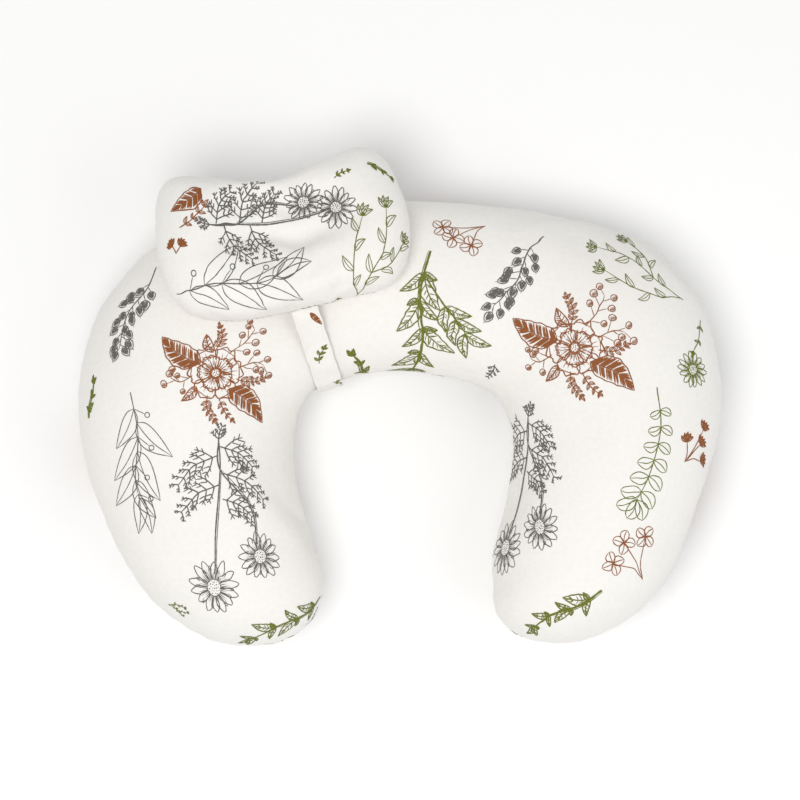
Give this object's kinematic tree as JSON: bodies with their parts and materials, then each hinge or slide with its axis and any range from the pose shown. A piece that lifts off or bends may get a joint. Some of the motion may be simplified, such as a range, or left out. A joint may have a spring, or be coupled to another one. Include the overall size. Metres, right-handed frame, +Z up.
{
  "type": "nursing pillow",
  "caption": "U-shaped support pillow in a printed cotton cover, with a small dished head pillow strapped across its arch; both covers open with a zip.",
  "frame": {"origin": "under the centre of the bounding box, on the plane the pillow lies on", "axes": "+Z up, +X to the right along the pillow's length, -Y towards the opening of the U (the wearer's waist)"},
  "size_m": [0.598, 0.458, 0.1901],
  "materials": {
    "printed_cotton": "matt woven cotton with a botanical print",
    "inner_casing": "plain non-woven casing",
    "fibre_filling": "loose polyester fibre",
    "thread": "sewing thread",
    "zip_tape": "woven zip tape",
    "zip_coil": "nylon coil",
    "zip_metal": "enamelled die-cast",
    "hook_and_loop": "hook-and-loop tape",
    "label": "blank satin label"
  },
  "bodies": {
    "main_pillow": {"main_cover_top": "printed_cotton", "main_cover_bottom": "printed_cotton", "main_liner_top": "inner_casing", "main_liner_bottom": "inner_casing", "main_filling": "fibre_filling", "main_seam_thread": "thread", "main_zip_tape_upper": "zip_tape", "main_zip_tape_lower": "zip_tape", "main_zip_coil_upper": "zip_coil", "main_zip_coil_lower": "zip_coil", "main_zip_stop_left": "zip_metal", "main_zip_stop_right": "zip_metal", "main_care_label": "label"},
    "head_pillow": {"head_cover_top": "printed_cotton", "head_cover_bottom": "printed_cotton", "head_liner_top": "inner_casing", "head_liner_bottom": "inner_casing", "head_filling": "fibre_filling", "head_seam_thread": "thread", "head_zip_tape_back": "zip_tape", "head_zip_tape_front": "zip_tape", "head_zip_coil_back": "zip_coil", "head_zip_coil_front": "zip_coil", "head_zip_stop_left": "zip_metal", "head_zip_stop_right": "zip_metal", "strap_front_band": "printed_cotton", "strap_back_band": "printed_cotton", "strap_loop_patch": "hook_and_loop"},
    "strap_tab": {"strap_tab": "printed_cotton", "strap_hook_patch": "hook_and_loop"},
    "main_zip_slider": {"main_zip_slider": "zip_metal"},
    "main_zip_pull": {"main_zip_pull": "zip_metal"},
    "head_zip_slider": {"head_zip_slider": "zip_metal"},
    "head_zip_pull": {"head_zip_pull": "zip_metal"}
  },
  "joints": [
    {"name": "head_pillow_slide", "type": "slide", "parent": "main_pillow", "child": "head_pillow", "axis": [0.9928, 0.1201, 0], "range_m": [0, 0.07]},
    {"name": "strap_tab_peel", "type": "hinge", "parent": "head_pillow", "child": "strap_tab", "pos_m": [-0.10687, 0.13366, 0.00426], "axis": [0.9466, 0.3223, 0], "range_deg": [0, 80]},
    {"name": "main_zip_run", "type": "hinge", "parent": "main_pillow", "child": "main_zip_slider", "pos_m": [0, -0.592, 0.072], "axis": [0, 0, 1], "range_deg": [-10.3, 0]},
    {"name": "main_zip_pull_hinge", "type": "hinge", "parent": "main_zip_slider", "child": "main_zip_pull", "pos_m": [-0.00402, 0.19099, 0.072], "axis": [0, 0, 1], "range_deg": [-170, 0]},
    {"name": "head_zip_run", "type": "slide", "parent": "head_pillow", "child": "head_zip_slider", "axis": [0.9859, 0.165, -0.0279], "range_m": [0, 0.1]},
    {"name": "head_zip_pull_hinge", "type": "hinge", "parent": "head_zip_slider", "child": "head_zip_pull", "pos_m": [-0.15906, 0.14299, 0.12554], "axis": [-0.1648, 0.9284, -0.333], "range_deg": [-15, 0]}
  ]
}
